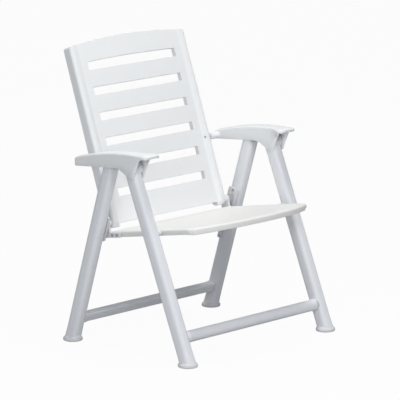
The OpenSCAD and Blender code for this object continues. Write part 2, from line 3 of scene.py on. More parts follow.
import bmesh
import bpy
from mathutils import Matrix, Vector

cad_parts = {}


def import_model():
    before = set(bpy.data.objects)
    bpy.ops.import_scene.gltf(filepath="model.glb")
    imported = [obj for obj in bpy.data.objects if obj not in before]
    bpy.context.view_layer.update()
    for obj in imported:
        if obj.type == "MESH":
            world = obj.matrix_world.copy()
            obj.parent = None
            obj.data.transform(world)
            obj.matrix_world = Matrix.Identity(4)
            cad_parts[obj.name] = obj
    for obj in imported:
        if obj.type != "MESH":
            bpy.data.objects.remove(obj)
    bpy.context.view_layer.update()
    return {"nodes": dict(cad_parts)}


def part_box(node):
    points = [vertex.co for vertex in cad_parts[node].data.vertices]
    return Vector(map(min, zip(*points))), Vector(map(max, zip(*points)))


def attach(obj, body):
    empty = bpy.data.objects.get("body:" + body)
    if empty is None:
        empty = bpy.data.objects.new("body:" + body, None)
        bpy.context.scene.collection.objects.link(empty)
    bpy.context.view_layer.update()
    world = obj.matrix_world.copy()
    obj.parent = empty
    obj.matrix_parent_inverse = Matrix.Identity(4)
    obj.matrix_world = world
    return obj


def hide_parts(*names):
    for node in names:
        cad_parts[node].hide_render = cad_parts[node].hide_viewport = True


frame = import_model()
NODES = frame["nodes"]
MM = 0.001                              # sizes here are in millimetres, Blender's are in metres
X, Y, Z = 0, 1, 2
SIDES = ((1, "left"), (-1, "right"))    # +X is the sitter's left


# ---------------------------------------------------------------- sizes, mm
# The CAD part's frame: +Z up, the sitter looks along -Y. Points of the side plane are (y, z).
# What the solids' boxes show is read from them. The other values are the part's own, or belong
# to softer edges and shapes that only the scene has.
def low(node, axis):
    return round(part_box(node)[0][axis] / MM, 1)


def high(node, axis):
    return round(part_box(node)[1][axis] / MM, 1)


def span(node, axis):
    return round(high(node, axis) - low(node, axis), 1)


def middle(node):
    """(y, z) of the middle of a node's box"""
    lo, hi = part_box(node)
    return tuple(round((lo[axis] + hi[axis]) / 2 / MM, 1) for axis in (Y, Z))


# seat
SEAT_HALF = high("seat_panel", X)
SEAT_Z = 365.1              # height of the top face at y = 0
SEAT_TILT = 9.8             # degrees, rear edge lower
SEAT_FRONT = 248.0          # length ahead of y = 0 at the corners, on the slope
SEAT_REAR = 98.0            # length behind y = 0, on the slope
SEAT_BOW = 50.0             # how far the front edge bows forward
BOW_POWER = 2.4             # how full that bow is
SEAT_R = 26.0               # radius of the front corners
SEAT_REAR_R = 4.0           # radius of the rear corners
SEAT_TURN = 64.0            # degrees that a front corner turns before the bow begins
SEAT_RIM = 19.0             # depth of the rim
SEAT_LIP = 22.0             # depth of the rim along the front
SEAT_PLATE = 5.2            # thickness of the top plate
SEAT_DISH = 3.0             # depth of the shallow dish in the top
DISH_POWER = 2.5            # how full the dish is across the seat
DISH_FRONT, DISH_REAR = 0.35, 0.2       # shares of the seat over which it fades out
SEAT_ROLL = 1.8             # fall of the top along the front edge
ROLL_SHARE = 0.10           # share of the seat that it takes
SEAT_MIDDLE = (SEAT_REAR - SEAT_FRONT) / 2 - 12.0   # y of the top's middle, forward because of the bow
LIP_START = 30.0 - SEAT_FRONT           # y where the rim begins to deepen into the front lip
LIP_RUN = 24.0              # length over which it deepens
RIB_PITCH = 84.0
RIB_T = 4.0
RIB_LOW, RIB_HIGH = -14.0, -4.0         # ribs below the top face, from and to
RIB_END, CROSS_RIB_END = 4.0, 6.0       # distance of the ribs' ends from the seat's edge, inside the rim
PAD_X = (SEAT_HALF - 24.0, SEAT_HALF - 5.0)         # pads for the brackets and for the spacers
BRACKET_PAD, SPACER_PAD = (SEAT_REAR - 46.0, SEAT_REAR - 4.0), (-120.4, -102.4)
PAD_LOW = 0.5 - SEAT_RIM

# backrest, with heights measured along it from its lower pivot
BACK_PIVOT = middle("seat_back_pin_left")
BACK_LEAN = 19.55           # degrees from upright
BACK_HALF = high("backrest", X)
BACK_LEN = 549.0            # height at the corners
BACK_TAIL = 5.0             # reach of the slats' panel below the pivot
BACK_CROWN = 15.0           # rise of the top edge at its middle
BACK_R = 8.0                # radius of the top corners
BACK_SKIN = 5.0             # thickness of the moulding
STILE_X = BACK_HALF - 34.0  # inner side of the deep stiles
STILE_FRONT = 18.0          # pivot forward to the stiles' front
STILE_REAR = 18.0           # pivot back to the stiles' rear, low on the back
STILE_REAR_TOP = 12.0       # the same at the top
STILE_END = 16.0            # radius of the stiles' round lower ends
STILE_EDGE_R = 9.0          # rounding of their outer front edges
STILE_FULL = 32.0           # height at which their front has its full depth
STEP_W = 21.0               # width of the soft step from the slats to a stile
HOLLOW_IN = 5.5             # distance of the hollows from the sides of their stile or slats
MID_RIB = 3.0               # half the thickness of the rib behind the slats' middle
SLAT_T = 14.0
SLAT_FRONT = 8.0            # pivot forward to the slats' front, low on the back
SLAT_FRONT_TOP = 14.0       # the same at the top slot
SLOTS = 6
SLOT_H = 26.0
SLOT_HALF = BACK_HALF - 60.0            # half the length of a slot
SLOT_PITCH = 79.0
SLOT_FIRST = 74.0           # lower edge of the lowest slot
SLOT_ARCH = 4.0             # extra height of the top slot at its middle

# legs, crossbars and feet
LEG_X = round((low("front_leg_left", X) + high("front_leg_left", X)) / 2, 1)
LEG_W = span("front_leg_left", X)
LEG_D = 43.0
LEG_R = 13.0                # rounding of the corners
LEG_LOW = 7.0               # height of the lower end, inside the foot
LEG_OVER = 3.0              # run above the top pivot
LEG_FLARE = 3.0             # how much wider a leg is where it meets its foot
HEAD_R = 19.0               # radius of the round head at a leg's top pivot
HEAD_STEP = 0.5             # how far a head stands back from the leg's sides
FRONT_ARM = middle("front_arm_pin_left")
REAR_ARM = middle("rear_arm_pin_left")
FRONT_LEAN, REAR_LEAN = 22.25, 16.96    # degrees from upright
FRONT_FOOT, REAR_FOOT = -276.5, 213.5   # y where the legs' middle lines meet the ground
FRONT_BAR_Z = middle("front_crossbar")[1]
FRONT_BAR_D = span("front_crossbar", Y)
REAR_BAR_Z = middle("rear_crossbar")[1]
REAR_BAR_S = 27.0           # side of the square bar
REAR_BAR_R = 6.0            # rounding of its corners
BAR_IN = 2.0                # how far a bar's end runs into the leg
FOOT_D = span("front_foot_left", X)
FOOT_H = span("front_foot_left", Z)
# end of the chair, y of the foot, lean, top pivot, and the way the leg leans going up
FRAMES = (("front", FRONT_FOOT, FRONT_LEAN, FRONT_ARM, 1.0),
          ("rear", REAR_FOOT, REAR_LEAN, REAR_ARM, -1.0))

# armrests
ARM_BACK = middle("arm_back_pin_left")
ARM_TIP = low("armrest_left", Y)
ARM_REAR = high("armrest_left", Y)
ARM_Z = high("armrest_left", Z)
ARM_W = round(2 * (high("armrest_left", X) - LEG_X), 1)
ARM_PEAK = FRONT_ARM[0] - 25.5          # y of the highest point
ARM_FALL = 38.0             # fall of the top from there to the rear
ARM_WALL = 4.0
ARM_TOP_T = 5.0
ARM_R = 6.5                 # rounding of the upper edges
ARM_CROWN = 1.2             # rise of the top across its width
ARM_DOWN = 1.4              # how far the top's edges lie below the solid's top
ARM_END_R = 5.0             # rounding of the rear end
ARM_END_DROP, ARM_END_RISE = 2.5, 1.5   # how far the top falls and the lower edge rises there
END_WALL, END_WALL_RUN = 4.5, 1.5       # the channel is closed this far from the rear, over this length
WALL_EDGE = 1.2             # chamfer of the walls' lower edges
TIP_R = 11.0                # radius of the tip's corners, seen from above
TIP_NOSE = 6.0              # length over which the tip gets thinner
TIP_DROP, TIP_RISE = 3.0, 1.6           # how far its top falls and its underside rises there
TIP_SOLID_Y = -108.0        # the tip is solid ahead of here
TIP_CEILING = 604.5         # height of the hollow where it begins
TIP_WING = 16.0             # how far the tip's plate widens inward
WING_RUN = 52.0             # length over which it widens
WING_Z, WING_RISE = 600.5, 4.5          # the walls keep their width below, the plate widens above
FLARE = (FRONT_ARM[0] - 7.0, FRONT_ARM[1] - 15.5)   # middle of the round end below the front leg's pivot
FLARE_R = 13.0
BOSS_GAP, BOSS_IN = 1.2, 1.5            # room from boss to backrest, and its run into the wall


# ---------------------------------------------------------------- materials
def clear_tree(owner):
    """the empty node tree of a material or world"""
    owner.use_nodes = True
    owner.node_tree.nodes.clear()
    return owner.node_tree


def new_material(name):
    mat = bpy.data.materials.new(name)
    tree = clear_tree(mat)
    out = tree.nodes.new("ShaderNodeOutputMaterial")
    bsdf = tree.nodes.new("ShaderNodeBsdfPrincipled")
    tree.links.new(bsdf.outputs["BSDF"], out.inputs["Surface"])
    return mat, tree, bsdf


def noise(tree, place, scale, detail, rough=0.5):
    node = tree.nodes.new("ShaderNodeTexNoise")
    node.inputs["Scale"].default_value = scale
    node.inputs["Detail"].default_value = detail
    node.inputs["Roughness"].default_value = rough
    tree.links.new(place, node.inputs["Vector"])
    return node.outputs["Fac"]


def ramp(tree, value, stops):
    """stops: (position, grey)"""
    node = tree.nodes.new("ShaderNodeValToRGB")
    elements = node.color_ramp.elements
    while len(elements) < len(stops):
        elements.new(0.5)
    for element, (position, grey) in zip(elements, stops):
        element.position = position
        element.color = (grey, grey, grey, 1.0)
    tree.links.new(value, node.inputs["Fac"])
    return node.outputs["Color"]


def mix(tree, share, first, second):
    """mix of two colours, each a socket or (r, g, b)"""
    node = tree.nodes.new("ShaderNodeMix")
    node.data_type = "RGBA"
    tree.links.new(share, node.inputs[0])
    for socket, colour in ((node.inputs[6], first), (node.inputs[7], second)):
        if isinstance(colour, tuple):
            socket.default_value = (*colour, 1.0)
        else:
            tree.links.new(colour, socket)
    return node.outputs[2]


def calculate(tree, operation, first, second):
    """first is a socket, second a socket or number"""
    node = tree.nodes.new("ShaderNodeMath")
    node.operation = operation
    tree.links.new(first, node.inputs[0])
    if isinstance(second, float):
        node.inputs[1].default_value = second
    else:
        tree.links.new(second, node.inputs[1])
    return node.outputs[0]


def to_range(tree, value, lowest, highest):
    node = tree.nodes.new("ShaderNodeMapRange")
    node.inputs["To Min"].default_value = lowest
    node.inputs["To Max"].default_value = highest
    tree.links.new(value, node.inputs["Value"])
    return node.outputs["Result"]


def bump(tree, bsdf, layers):
    """layers: (height socket, strength, distance in metres)"""
    last = None
    for height, strength, distance in layers:
        node = tree.nodes.new("ShaderNodeBump")
        node.inputs["Strength"].default_value = strength
        node.inputs["Distance"].default_value = distance
        tree.links.new(height, node.inputs["Height"])
        if last:
            tree.links.new(last, node.inputs["Normal"])
        last = node.outputs["Normal"]
    tree.links.new(last, bsdf.inputs["Normal"])


def tint(colour, factors):
    return tuple(c * f for c, f in zip(colour, factors))


def resin(name, base, dusty=0.5, rough=(0.36, 0.5), stipple=1400.0):
    """moulded white resin: a fine stipple, slow flow marks, and faint dust that gathers in patches"""
    mat, tree, bsdf = new_material(name)
    place = tree.nodes.new("ShaderNodeTexCoord").outputs["Object"]
    broad = noise(tree, place, scale=5.0, detail=4.0, rough=0.6)
    patches = noise(tree, place, scale=38.0, detail=5.0, rough=0.65)
    grain = noise(tree, place, scale=stipple, detail=2.0)
    flow = noise(tree, place, scale=14.0, detail=2.0, rough=0.4)
    warm = tint(base, (1.0, 0.992, 0.975))
    soiled = tint(base, (0.93, 0.925, 0.91))
    clean = mix(tree, to_range(tree, broad, 0.0, 1.0), base, warm)
    dust = ramp(tree, patches, ((0.0, 0.0), (0.56, 0.0), (0.78, 1.0)))
    colour = mix(tree, calculate(tree, "MULTIPLY", dust, dusty), clean, soiled)
    tree.links.new(colour, bsdf.inputs["Base Color"])
    tree.links.new(to_range(tree, patches, *rough), bsdf.inputs["Roughness"])
    bsdf.inputs["IOR"].default_value = 1.49
    bsdf.inputs["Specular IOR Level"].default_value = 0.42
    bump(tree, bsdf, [(flow, 0.10, 0.004), (grain, 0.22, 0.00035)])
    return mat


def steel(name, base):
    """drawn steel: fine lines along the pin and small duller spots"""
    mat, tree, bsdf = new_material(name)
    place = tree.nodes.new("ShaderNodeTexCoord").outputs["Object"]
    stretched = tree.nodes.new("ShaderNodeMapping")
    stretched.inputs["Scale"].default_value = (40.0, 900.0, 900.0)
    tree.links.new(place, stretched.inputs["Vector"])
    lines = noise(tree, stretched.outputs["Vector"], scale=3.0, detail=3.0)
    spots = noise(tree, place, scale=220.0, detail=4.0)
    dull = tint(base, (0.82, 0.82, 0.82))
    tree.links.new(mix(tree, to_range(tree, spots, 0.0, 1.0), base, dull), bsdf.inputs["Base Color"])
    bsdf.inputs["Metallic"].default_value = 0.9
    tree.links.new(to_range(tree, lines, 0.28, 0.5), bsdf.inputs["Roughness"])
    bump(tree, bsdf, [(lines, 0.15, 0.0002)])
    return mat


RESIN = resin("resin_white", (0.83, 0.845, 0.855), dusty=0.35)
# the seat's copy of the white resin is a little brighter and warmer: painted light for its lit top
RESIN_SEAT_PAINTED_LIGHT = resin("resin_seat_painted_light", (0.86, 0.85, 0.84), rough=(0.38, 0.55))
# the legs', heads' and crossbars' copy is darker and bluer: painted shade, for the bluish shade under the
# armrests and seat
RESIN_LEG_PAINTED_SHADE = resin("resin_legs_painted_shade", (0.79, 0.805, 0.84))
RESIN_FOOT = resin("resin_feet", (0.70, 0.70, 0.72), dusty=1.0, rough=(0.5, 0.7), stipple=900.0)
# the brackets' and spacers' copy is a little darker and bluer: slight painted shade, with real dust
RESIN_HINGE_PAINTED_SHADE = resin("resin_hinges_painted_shade", (0.80, 0.81, 0.83), dusty=0.6)
# the racks' copy is darker still: painted shade for the shadowed gap beside the rear legs, on top of their
# real dust
RESIN_RACK_PAINTED_SHADE = resin("resin_racks_painted_shade", (0.74, 0.75, 0.78), dusty=0.7)
STEEL = steel("steel_pins", (0.62, 0.62, 0.63))


# ---------------------------------------------------------------- helpers
def add_object(name, verts, faces, rounded=True):
    """object from points in millimetres, with its normals turned outward"""
    mesh = bpy.data.meshes.new(name)
    mesh.from_pydata([tuple(c * MM for c in v) for v in verts], [], faces)
    mesh.validate()
    bm = bmesh.new()
    bm.from_mesh(mesh)
    bmesh.ops.remove_doubles(bm, verts=bm.verts, dist=1e-6)
    bmesh.ops.recalc_face_normals(bm, faces=bm.faces)
    bm.to_mesh(mesh)
    bm.free()
    for polygon in mesh.polygons:
        polygon.use_smooth = rounded
    ob = bpy.data.objects.new(name, mesh)
    bpy.context.scene.collection.objects.link(ob)
    return ob


def add_bevel(ob, width, segments, angle):
    bevel = ob.modifiers.new("bevel", "BEVEL")
    bevel.width = width * MM
    bevel.segments = segments
    bevel.limit_method = "ANGLE"
    bevel.angle_limit = math.radians(angle)
    ob.modifiers.new("normals", "WEIGHTED_NORMAL")
    return ob


def dress(ob, mat, body, slot, *nodes):
    """give a piece its material, the body it rides on, and the CAD nodes that it stands for"""
    ob.data.materials.clear()
    ob.data.materials.append(mat)
    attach(ob, body)
    if nodes:
        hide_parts(*nodes)
    return ob


def smooth(t):
    t = max(0.0, min(1.0, t))
    return t * t * (3 - 2 * t)


def arc(middle_a, middle_b, radius, start, end, n):
    """n + 1 points (a, b) on an arc, with its angles in degrees"""
    angles = [math.radians(start + (end - start) * i / n) for i in range(n + 1)]
    return [(middle_a + radius * math.cos(a), middle_b + radius * math.sin(a)) for a in angles]


def circle(radius, n):
    """n points (a, b) round the origin"""
    return arc(0.0, 0.0, radius, 0, 360, n)[:-1]


def between(start, end, n):
    """the n - 1 points that divide a straight line into n"""
    return [tuple(s + (e - s) * i / n for s, e in zip(start, end)) for i in range(1, n)]


def rounded_rect(width, depth, radius):
    """closed loop of (a, b), counter-clockwise"""
    a, b = width / 2 - radius, depth / 2 - radius
    return (arc(a, b, radius, 0, 90, 6) + arc(-a, b, radius, 90, 180, 6)
            + arc(-a, -b, radius, 180, 270, 6) + arc(a, -b, radius, 270, 360, 6))


def loft(rings):
    """quads between rings of equal length, with both ends capped"""
    n = len(rings[0])
    verts = [p for ring in rings for p in ring]
    faces = []
    for a in range(0, len(verts) - n, n):
        b = a + n
        for i in range(n):
            j = (i + 1) % n
            faces.append((a + i, a + j, b + j, b + i))
    faces.append(tuple(range(n)))
    faces.append(tuple(reversed(range(len(verts) - n, len(verts)))))
    return verts, faces


def turned(side, centre, profile, n):
    """rings round an axis along x at centre (y, z), from a profile of (x, radius)"""
    return [[(side * x, centre[0] + a, centre[1] + b) for a, b in circle(radius, n)] for x, radius in profile]


# ---------------------------------------------------------------- camera
STAND_POINT = Vector((0.0, -0.0315, 0.0))           # the camera's place is measured from here
AZIMUTH, ELEVATION, DISTANCE = -46.81, 13.86, 10.173    # degrees, degrees and metres
AXIS_ELEVATION = 11.514                             # degrees that it looks down
LENS, SENSOR = 297.0, 36.0


def back_vector(azimuth, elevation):
    a, e = math.radians(azimuth), math.radians(elevation)
    return Vector((math.sin(a) * math.cos(e), -math.cos(a) * math.cos(e), math.sin(e)))


cam_data = bpy.data.cameras.new("camera")
cam = bpy.data.objects.new("camera", cam_data)
bpy.context.scene.collection.objects.link(cam)
cam_data.sensor_width = SENSOR
cam_data.lens = LENS
cam_data.clip_end = 100.0
cam.location = STAND_POINT + DISTANCE * back_vector(AZIMUTH, ELEVATION)
cam.rotation_euler = (-back_vector(AZIMUTH, AXIS_ELEVATION)).to_track_quat("-Z", "Y").to_euler()
bpy.context.scene.camera = cam


# ---------------------------------------------------------------- legs
# (distance above the lower end, share of the flare)
FLARING = ((0, 1.0), (5, 1.0), (12, 0.75), (22, 0.35), (36, 0.08), (52, 0.0))
# (inset, distance above the last full section) of the rounded top, which takes TOP_ROOM
TOP_ROUNDING = ((1.2, 3.0), (3.5, 5.5), (7.0, 7.5))
TOP_ROOM = 8.0
# (distance from the side, distance from the full radius) of a head's rounded edge
HEAD_ROUNDING = ((0.0, 2.5), (0.8, 0.8), (2.5, 0.0))


def leg(name, side, foot_y, lean, top, turn):
    """leg with well rounded corners that flares into its foot"""
    a = math.radians(lean)
    along = Vector((0.0, turn * math.sin(a), math.cos(a)))
    across = Vector((0.0, math.cos(a), -turn * math.sin(a)))
    foot = Vector((side * LEG_X, foot_y, 0.0))

    def section(t, grow, radius):
        centre = foot + along * t
        return [centre + Vector((x, 0, 0)) + across * d
                for x, d in rounded_rect(LEG_W + grow, LEG_D + grow, radius)]

    start = LEG_LOW / math.cos(a)
    end = (top[1] + LEG_OVER) / math.cos(a) - LEG_D / 2 * math.tan(a) - TOP_ROOM
    rings = []
    for up, share in FLARING:
        grow = LEG_FLARE * share
        ring = section(start + up, grow, LEG_R + grow * 0.6)
        if up < 6:                          # the lowest sections lie level
            ring = [p - along * ((p.z - LEG_LOW - up) / along.z) for p in ring]
        rings.append(ring)
    first = start + FLARING[-1][0]
    rings += [section(first + (end - first) * k / 14, 0.0, LEG_R) for k in range(1, 15)]
    rings += [section(end + up, -2 * inset, LEG_R - inset) for inset, up in TOP_ROUNDING]
    return add_object(name, *loft(rings))


def head(name, side, pivot):
    """round head at a leg's top pivot"""
    half = LEG_W / 2 - HEAD_STEP
    near = [(LEG_X * side - half + x, HEAD_R - less) for x, less in HEAD_ROUNDING]
    far = [(LEG_X * side + half - x, HEAD_R - less) for x, less in reversed(HEAD_ROUNDING)]
    return add_object(name, *loft(turned(1, pivot, near + far, 40)))


for side, word in SIDES:
    for end, foot_y, lean, pivot, turn in FRAMES:
        ob = leg(f"{end}_leg_{word}_skin", side, foot_y, lean, pivot, turn)
        dress(ob, RESIN_LEG_PAINTED_SHADE, f"{end}_frame", "leg_resin", f"{end}_leg_{word}")
        ob = head(f"{end}_leg_{word}_eye", side, pivot)
        dress(ob, RESIN_LEG_PAINTED_SHADE, f"{end}_frame", "leg_resin")


# ---------------------------------------------------------------- feet
# (distance from the full radius, height), from the sole up
FOOT_PROFILE = ((4.0, 0.0), (1.2, 1.0), (0.0, 3.2), (0.0, 7.0),
                (1.0, 9.2), (3.0, 11.6), (6.0, 13.6), (8.5, 14.8))


def foot_cap(name, side, foot_y, lean, turn):
    y = foot_y + turn * FOOT_H / 2 * math.tan(math.radians(lean))
    rings = []
    for less, z in FOOT_PROFILE:
        rings.append([(side * LEG_X + a, y + b, z) for a, b in circle(FOOT_D / 2 - less, 64)])
    return add_object(name, *loft(rings))


for side, word in SIDES:
    for end, foot_y, lean, pivot, turn in FRAMES:
        ob = foot_cap(f"{end}_foot_{word}_cap", side, foot_y, lean, turn)
        dress(ob, RESIN_FOOT, f"{end}_frame", "foot_resin", f"{end}_foot_{word}")


# ---------------------------------------------------------------- crossbars
# (distance from the leg in widths of the collar, share of the collar)
COLLAR = ((0.0, 1.0), (0.7, 1.0), (1.0, 0.6), (1.25, 0.0))


def crossbar(name, centre, section, collar, collar_w):
    """bar across the chair with a slightly wider collar against each leg"""
    half = LEG_X - LEG_W / 2 + BAR_IN
    near = [(-half + collar_w * along, share) for along, share in COLLAR]
    far = [(-x, share) for x, share in reversed(near)]
    rings = []
    for x, share in near + between(near[-1], far[0], 8) + far:
        rings.append([(x, centre[0] + a, centre[1] + b) for a, b in section(collar * share)])
    return add_object(name, *loft(rings))


def round_section(grow):
    return circle(FRONT_BAR_D / 2 + grow, 48)


def square_section(grow):
    a = math.radians(REAR_LEAN)
    return [(p * math.cos(a) - q * math.sin(a), p * math.sin(a) + q * math.cos(a))
            for p, q in rounded_rect(REAR_BAR_S + grow, REAR_BAR_S + grow, REAR_BAR_R)]


front_y = FRONT_FOOT + FRONT_BAR_Z * math.tan(math.radians(FRONT_LEAN))
rear_y = REAR_FOOT - REAR_BAR_Z * math.tan(math.radians(REAR_LEAN))
ob = crossbar("front_bar_skin", (front_y, FRONT_BAR_Z), round_section, collar=1.6, collar_w=16.0)
dress(ob, RESIN_LEG_PAINTED_SHADE, "front_frame", "leg_resin", "front_crossbar")
ob = crossbar("rear_bar_skin", (rear_y, REAR_BAR_Z), square_section, collar=2.4, collar_w=14.0)
dress(ob, RESIN_LEG_PAINTED_SHADE, "rear_frame", "leg_resin", "rear_crossbar")


# ---------------------------------------------------------------- seat
# rings of the top, as shares of the way out from its middle
TOP_RINGS = (0.04, 0.12, 0.22, 0.34, 0.46, 0.58, 0.70, 0.80, 0.88, 0.94, 0.975)
TOP_IN = 5.0                # inset of the outline that they are shares of
UNDER_RINGS = (0.7, 0.4, 0.1)           # the same underneath, of the rim's inner outline
# (inset, drop) of the rounded upper edge, (inset, rise) of the rim's rounded and drafted lower edge
UPPER_EDGE = ((4.6, 0.1), (3.0, 0.7), (1.5, 2.0), (0.5, 4.0), (0.0, 6.5))
LOWER_EDGE = ((4.2, 5.0), (4.9, 2.6), (6.0, 0.9), (7.2, 0.1), (8.6, 0.2), (9.6, 1.4), (10.0, 3.5))
RIM_IN = 10.4               # inset of the rim's inner face


def seat_point(x, y, z):
    """from the seat's own plane, where z = 0 is its top face"""
    a = math.radians(SEAT_TILT)
    return (x, y * math.cos(a) + z * math.sin(a), SEAT_Z - y * math.sin(a) + z * math.cos(a))


def seat_front_y(x):
    bow_half = SEAT_HALF - SEAT_R + SEAT_R * math.cos(math.radians(SEAT_TURN))
    return -SEAT_FRONT - SEAT_BOW * (1 - min(1.0, abs(x) / bow_half) ** BOW_POWER)


def seat_outline(inset):
    """loop of (x, y) in the seat's own plane; the front edge bows forward"""
    half, rear = SEAT_HALF - inset, SEAT_REAR - inset
    turn = math.radians(SEAT_TURN)
    corner_x, corner_y, r = SEAT_HALF - SEAT_R, -SEAT_FRONT + SEAT_R * math.sin(turn), SEAT_R - inset
    rear_r = max(1.5, SEAT_REAR_R - inset)
    bow_half, bow_y = corner_x + r * math.cos(turn), corner_y - r * math.sin(turn)
    loop = arc(half - rear_r, rear - rear_r, rear_r, 0, 90, 6)
    loop += between((half - rear_r, rear), (rear_r - half, rear), 24)
    loop += arc(rear_r - half, rear - rear_r, rear_r, 90, 180, 6)
    loop += between((-half, rear - rear_r), (-half, corner_y), 16)
    loop += arc(-corner_x, corner_y, r, 180, 180 + SEAT_TURN, 10)
    for i in range(1, 40):
        t = i / 20 - 1
        bow = SEAT_BOW * (1 - abs(t) ** BOW_POWER) - 0.1 * inset * (1 - abs(t))
        loop.append((bow_half * t, bow_y - bow))
    loop += arc(corner_x, corner_y, r, 360 - SEAT_TURN, 360, 10)
    loop += between((half, corner_y), (half, rear - rear_r), 16)
    return loop


def seat_top(x, y):
    """height of the top: a shallow dish with a rolled front"""
    u = min(1.0, abs(x) / SEAT_HALF)
    front = seat_front_y(x)
    v = (y - front) / (SEAT_REAR - front)
    dish = SEAT_DISH * (1 - u ** DISH_POWER) * smooth(v / DISH_FRONT) * smooth((1.02 - v) / DISH_REAR)
    return -dish - SEAT_ROLL * (1 - smooth(v / ROLL_SHARE))


def seat():
    """one loft: the top from its middle out, round the rim, and back to the middle underneath"""
    def shrunk(inset, share):
        return [(x * share, SEAT_MIDDLE + (y - SEAT_MIDDLE) * share) for x, y in seat_outline(inset)]

    def rim_depth(y):
        return SEAT_RIM + (SEAT_LIP - SEAT_RIM) * smooth((LIP_START - y) / LIP_RUN)

    rings = [[seat_point(x, y, seat_top(x, y)) for x, y in shrunk(TOP_IN, share)] for share in TOP_RINGS]
    for inset, drop in UPPER_EDGE:
        rings.append([seat_point(x, y, seat_top(x, y) - drop) for x, y in seat_outline(inset)])
    for inset, rise in LOWER_EDGE:
        rings.append([seat_point(x, y, rise - rim_depth(y)) for x, y in seat_outline(inset)])
    rings.append([seat_point(x, y, -SEAT_PLATE) for x, y in seat_outline(RIM_IN)])
    for share in UNDER_RINGS:
        rings.append([seat_point(x, y, -SEAT_PLATE + seat_top(x, y)) for x, y in shrunk(RIM_IN, share)])
    return add_object("seat_skin", *loft(rings))


def seat_ribs():
    """ribs under the seat, run front to back and across, and pads where brackets and spacers sit"""
    verts, faces = [], []

    def slab(x0, x1, y0, y1, z0, z1):
        first = len(verts)
        for z in (z0, z1):
            for x, y in ((x0, y0), (x1, y0), (x1, y1), (x0, y1)):
                verts.append(seat_point(x, y, z))
        for face in ((0, 3, 2, 1), (4, 5, 6, 7), (0, 1, 5, 4), (1, 2, 6, 5), (2, 3, 7, 6), (3, 0, 4, 7)):
            faces.append(tuple(first + i for i in face))

    for i in range(-3, 4):
        x = i * RIB_PITCH
        slab(x - RIB_T / 2, x + RIB_T / 2, seat_front_y(x) + RIB_END, SEAT_REAR - RIB_END, RIB_LOW, RIB_HIGH)
    for k in range(1, 5):
        y = SEAT_REAR - k * RIB_PITCH
        slab(CROSS_RIB_END - SEAT_HALF, SEAT_HALF - CROSS_RIB_END, y, y + RIB_T, RIB_LOW, RIB_HIGH)
    for side in (-1, 1):
        x0, x1 = sorted(side * x for x in PAD_X)
        for y0, y1 in (BRACKET_PAD, SPACER_PAD):
            slab(x0, x1, y0, y1, PAD_LOW, RIB_HIGH)
    ob = add_object("seat_ribs_skin", verts, faces, rounded=False)
    return add_bevel(ob, width=0.8, segments=2, angle=35.0)


dress(seat(), RESIN_SEAT_PAINTED_LIGHT, "seat", "seat_resin", "seat_panel")
dress(seat_ribs(), RESIN_SEAT_PAINTED_LIGHT, "seat", "seat_resin")


# ---------------------------------------------------------------- backrest
def back_point(x, y, z):
    """from the backrest's own frame, with z along it and its lower pivot as the origin"""
    a = math.radians(BACK_LEAN)
    pivot_y, pivot_z = BACK_PIVOT
    return (x, pivot_y + y * math.cos(a) + z * math.sin(a), pivot_z - y * math.sin(a) + z * math.cos(a))


def eye_height():
    """height of the armrests' pivot on the backrest"""
    a = math.radians(BACK_LEAN)
    run, rise = ARM_BACK[0] - BACK_PIVOT[0], ARM_BACK[1] - BACK_PIVOT[1]
    return round(run * math.sin(a) + rise * math.cos(a), 1)


def slot_low(k):
    return SLOT_FIRST + k * SLOT_PITCH


# hollows behind the stiles, parted by two ribs and the eye for the armrests' pivot
EYE_Z, EYE_ROOM = eye_height(), 13.0
STILE_POCKETS = [(20.0, 101.9), (107.0, EYE_Z - EYE_ROOM),
                 (EYE_Z + EYE_ROOM, 375.4), (380.4, BACK_LEN - BACK_R)]
# hollows behind the slats
SLAT_POCKETS = [(0.0, SLOT_FIRST - BACK_SKIN)]
for k in range(SLOTS - 1):
    SLAT_POCKETS.append((slot_low(k) + SLOT_H + BACK_SKIN, slot_low(k + 1) - BACK_SKIN))
SLAT_POCKETS.append((slot_low(SLOTS - 1) + SLOT_H + SLOT_ARCH + BACK_SKIN, BACK_LEN - BACK_SKIN))


def inside(height, pockets):
    return any(start + 0.5 < height < end - 0.5 for start, end in pockets)


def slat_front(z):
    """front face of the slats, which lean forward a little from the lowest slot to the top one"""
    run = slot_low(SLOTS - 1) - SLOT_FIRST
    return -SLAT_FRONT - (SLAT_FRONT_TOP - SLAT_FRONT) * min(1.0, max(0.0, z - SLOT_FIRST) / run)


def stile_faces(z):
    """front and rear faces of the stiles, whose lower ends are round"""
    if z < 0:
        d = math.sqrt(max(1.0, STILE_END ** 2 - z * z))
        return -d, d
    front = STILE_END + (STILE_FRONT - STILE_END) * min(1.0, z / STILE_FULL)
    rear = STILE_END + (STILE_REAR - STILE_END) * min(1.0, z / SLOT_FIRST)
    if z > SLOT_FIRST:
        rear = STILE_REAR - (z - SLOT_FIRST) * (STILE_REAR - STILE_REAR_TOP) / (BACK_LEN - SLOT_FIRST)
    return -front, rear


def back_columns():
    """x of the grid's columns, closer together at the slots' ends, the step to the stile and the edge"""
    slats = [2.5, 3.5, 45, 90, 135, 165] + [SLOT_HALF + d for d in (-6, -5, 0, 12)]
    step = [STILE_X + d for d in (-3, -1.6, -0.2, 2.5, 5, 6, 9, 12, 15, 18, STEP_W)]
    edge = [BACK_HALF - d for d in (STILE_EDGE_R, 7.4, 6, 5, 3.4, 2, 1, 0.3, 0)]
    half = slats + step + edge
    return [-x for x in reversed(half)] + [0.0] + half


